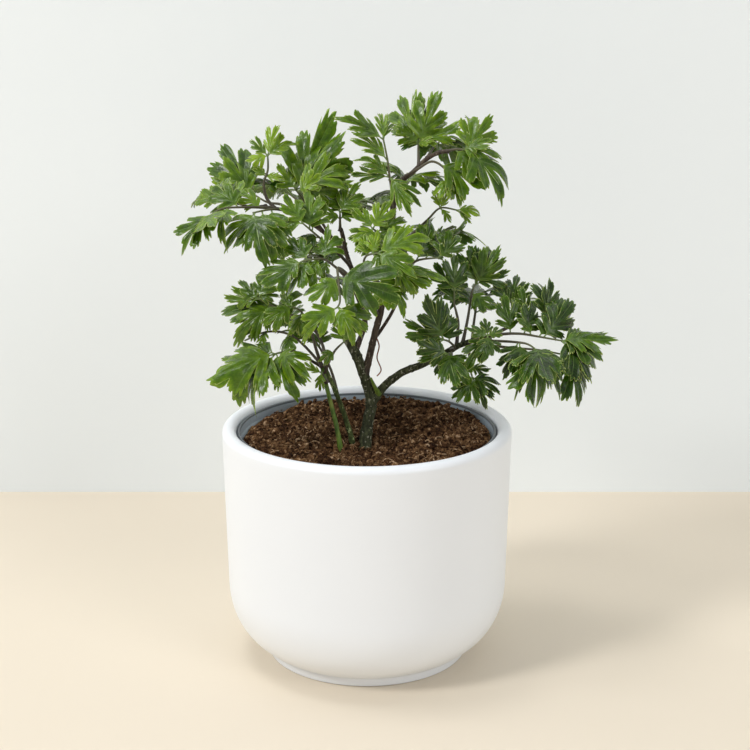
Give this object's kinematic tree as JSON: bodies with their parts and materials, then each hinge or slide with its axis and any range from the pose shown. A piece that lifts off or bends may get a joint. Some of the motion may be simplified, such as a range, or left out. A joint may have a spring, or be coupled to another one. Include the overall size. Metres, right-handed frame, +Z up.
{
  "type": "potted aralia plant",
  "caption": "Potted aralia: a small shrub with feathery, deeply lobed leaves in a nursery pot of peat soil that stands inside a round white glazed planter.",
  "frame": {"origin": "centre of the planter's flat underside", "axes": "+Z up along the planter's axis; -Y is the plant's face, and +X is to the right when it is looked at from -Y"},
  "size_m": [0.2097, 0.1446, 0.2836],
  "materials": {
    "white_glaze": "satin gloss white glaze",
    "pot_plastic": "blue-grey moulded plastic",
    "peat_soil": "loose fibrous peat and coir",
    "bark": "rough grey-green bark with pale specks",
    "twig_bark": "smooth dark brown bark",
    "green_stem": "smooth green stem",
    "leaf": "waxy green leaf with pale margins"
  },
  "bodies": {
    "root": {"axil_bud": "green_stem", "back_left_leaf": "leaf", "centre_front_leaf": "leaf", "centre_left_leaf": "leaf", "centre_right_leaf": "leaf", "centre_right_low_leaf": "leaf", "centre_top_leaf": "leaf", "centre_top_left_leaf": "leaf", "crown_fan_leaf": "leaf", "crown_leaf": "leaf", "dark_side_stem": "bark", "dry_thread": "twig_bark", "green_side_stem": "green_stem", "hanging_left_leaf": "leaf", "inner_shoot": "twig_bark", "leader_shoot": "twig_bark", "left_fan_leaf": "leaf", "left_inner_leaf": "leaf", "left_twig": "twig_bark", "long_left_leaf": "leaf", "lower_left_leaf": "leaf", "lower_left_tip_leaf": "leaf", "middle_leaf": "leaf", "middle_right_leaf": "leaf", "nursery_pot": "pot_plastic", "planter": "white_glaze", "rear_branch_leaf": "leaf", "rear_crown_leaf": "leaf", "rear_left_leaf": "leaf", "rear_low_leaf": "leaf", "rear_low_left_leaf": "leaf", "rear_middle_leaf": "leaf", "rear_right_leaf": "leaf", "rear_upper_leaf": "leaf", "rear_upper_left_leaf": "leaf", "right_bottom_leaf": "leaf", "right_branch": "bark", "right_drooping_leaf": "leaf", "right_far_leaf": "leaf", "right_finger_leaf": "leaf", "right_front_leaf": "leaf", "right_hanging_leaf": "leaf", "right_low_left_leaf": "leaf", "right_low_tip_leaf": "leaf", "right_sprig_leaf": "leaf", "right_tip_leaf": "leaf", "right_up_leaf": "leaf", "right_upright_leaf": "leaf", "side_stem_leaf": "leaf", "side_stem_small_leaf": "leaf", "soil": "peat_soil", "thin_shoot": "twig_bark", "trunk": "bark", "twig_end_leaf": "leaf", "upper_arching_leaf": "leaf", "upper_middle_leaf": "leaf", "upper_right_leaf": "leaf", "upper_right_low_leaf": "leaf", "upright_left_leaf": "leaf"}
  },
  "joints": []
}
